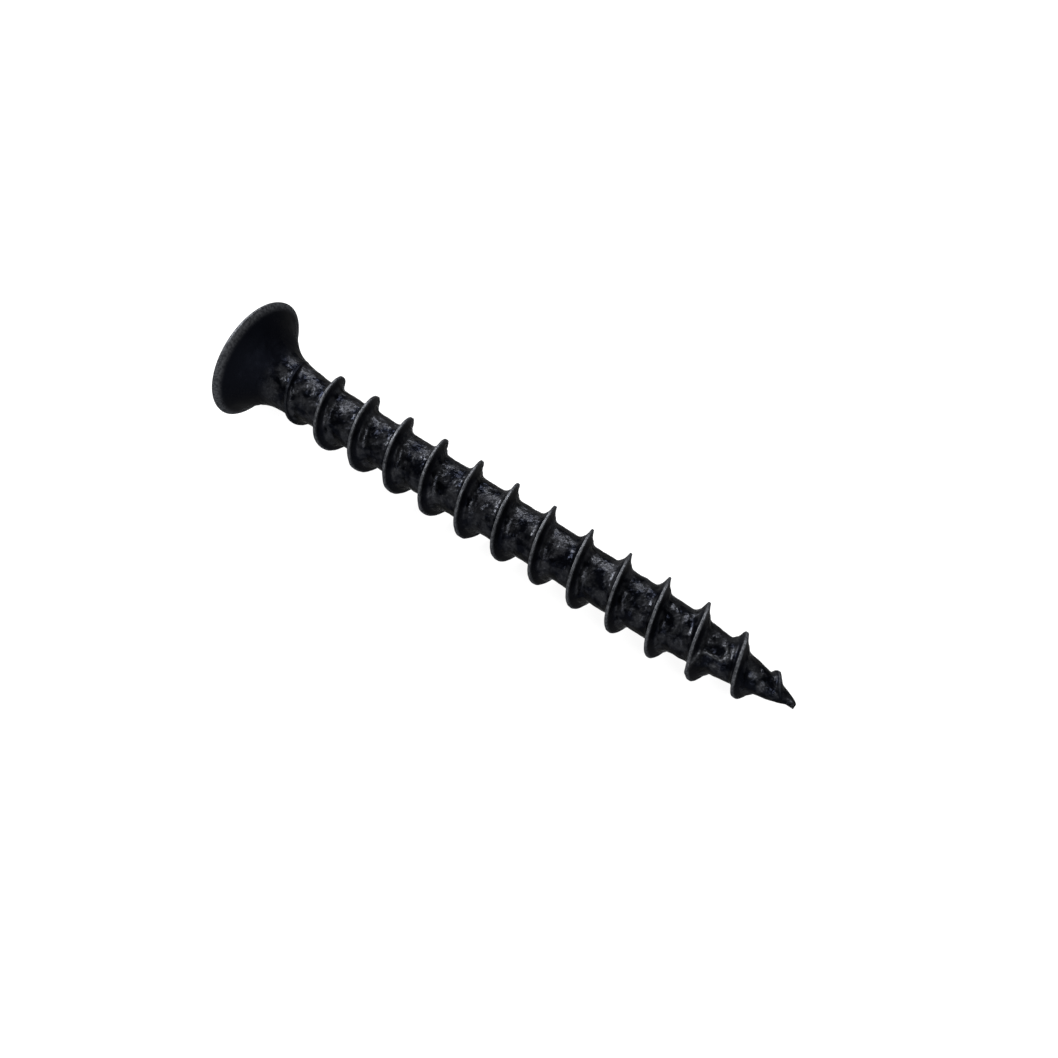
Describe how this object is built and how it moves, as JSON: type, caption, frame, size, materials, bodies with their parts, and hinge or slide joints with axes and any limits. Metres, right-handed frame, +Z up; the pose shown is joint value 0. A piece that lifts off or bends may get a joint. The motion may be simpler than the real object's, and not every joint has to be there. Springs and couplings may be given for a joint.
{
  "type": "wood screw",
  "caption": "Coarse-thread wood screw with a countersunk bugle head, a cross recess and a sharp point, in black phosphated steel.",
  "frame": {"origin": "middle of the footprint of the screw's bounding box, on the flat surface that the screw lies on", "axes": "+X roughly along the screw from the head to the tip (the screw's own axis dips 3.1 degrees below +X, because the screw lies on its head rim and on one thread crest); +Z up, away from the surface that it lies on"},
  "size_m": [0.0422, 0.0084, 0.0084],
  "materials": {
    "black_phosphate_steel": "black phosphate coat on hardened steel: dull bluish black with a fine crystalline grain, a soft oily gloss and paler, lightly rubbed thread crests and head rim"
  },
  "bodies": {
    "root": {"screw": "black_phosphate_steel"}
  },
  "joints": []
}
